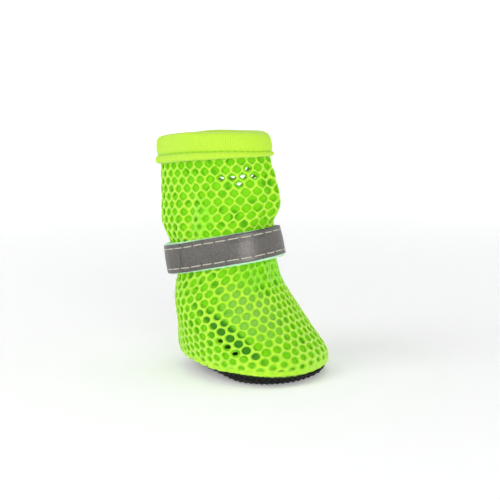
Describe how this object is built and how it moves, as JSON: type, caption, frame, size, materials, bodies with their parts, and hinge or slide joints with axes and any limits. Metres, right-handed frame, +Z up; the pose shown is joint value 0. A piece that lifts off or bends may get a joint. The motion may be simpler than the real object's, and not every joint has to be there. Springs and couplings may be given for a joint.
{
  "type": "dog boot",
  "caption": "Small soft dog boot: lime mesh upper, folded rib-knit cuff, reflective ankle strap and a dotted black textile sole.",
  "frame": {"origin": "on the floor, at the middle of the foot, on the sole's flat under face", "axes": "+X towards the toe, +Y to the boot's left, +Z up"},
  "size_m": [0.069, 0.05, 0.0893],
  "materials": {
    "air_mesh": "lime polyester air mesh with large round holes",
    "rib_knit": "pale lime rib-knit band with fine upright ribs",
    "reflective_tape": "grey satin reflective tape with two rows of cream stitches",
    "hook_and_loop": "pale mint loop tape, matt",
    "dotted_textile": "black textile with rows of small raised glossy dots",
    "liner": "thin black felt liner",
    "knit_tape": "plain lime knit tape"
  },
  "bodies": {
    "root": {"upper": "air_mesh", "cuff": "rib_knit", "strap": "reflective_tape", "strap_backing": "hook_and_loop", "sole": "dotted_textile", "insole": "liner", "heel_tape_left": "knit_tape", "heel_tape_right": "knit_tape"}
  },
  "joints": []
}
